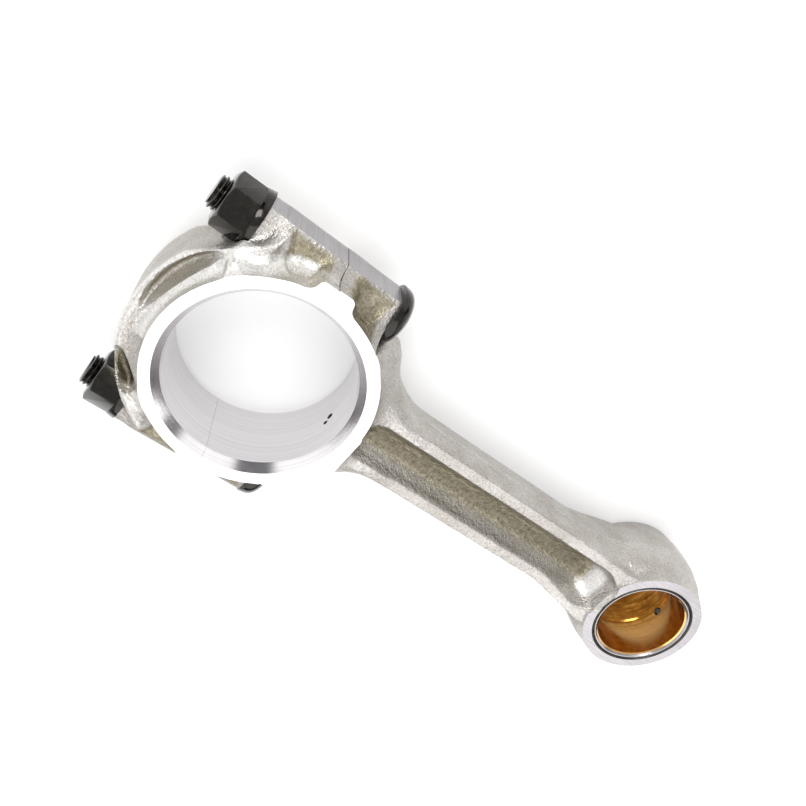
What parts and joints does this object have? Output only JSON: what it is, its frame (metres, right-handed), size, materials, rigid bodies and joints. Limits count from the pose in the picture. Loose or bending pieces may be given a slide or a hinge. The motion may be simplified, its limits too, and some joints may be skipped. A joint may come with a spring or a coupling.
{
  "type": "connecting rod",
  "caption": "Forged engine connecting rod with a split, bolted crankpin end, an I-section beam and a bronze-bushed gudgeon pin eye.",
  "frame": {"origin": "centre of the crankpin bore, half-way through the big end", "axes": "+X towards the small end, +Z along the bore axes, +Y across the rod through the two bolts; parting plane at X = 0"},
  "size_m": [0.227, 0.087, 0.0336],
  "materials": {
    "forged_steel": "shot-blasted forging with bright ground faces",
    "blacked_steel": "black oxide, satin",
    "bush_steel": "turned bright steel",
    "bronze": "fine-bored bronze"
  },
  "bodies": {
    "rod": {"rod": "forged_steel", "bolt_a": "blacked_steel", "bolt_b": "blacked_steel", "bush_back": "bush_steel", "bush_lining": "bronze"},
    "cap": {"cap": "forged_steel"},
    "nut_a": {"nut_a": "blacked_steel"},
    "nut_b": {"nut_b": "blacked_steel"}
  },
  "joints": [
    {"name": "cap_pull", "type": "slide", "parent": "rod", "child": "cap", "axis": [-1, 0, 0], "range_m": [0, 0.045]},
    {"name": "nut_a_turn", "type": "hinge", "parent": "cap", "child": "nut_a", "pos_m": [-0.031, 0.034, 0], "axis": [-1, 0, 0], "range_deg": [0, 12960]},
    {"name": "nut_b_turn", "type": "hinge", "parent": "cap", "child": "nut_b", "pos_m": [-0.031, -0.034, 0], "axis": [-1, 0, 0], "range_deg": [0, 12960]}
  ],
  "couplings": [
    {"joint": "nut_a_turn", "follows": "cap_pull", "rad_per_m": 5026.5},
    {"joint": "nut_b_turn", "follows": "cap_pull", "rad_per_m": 5026.5}
  ]
}
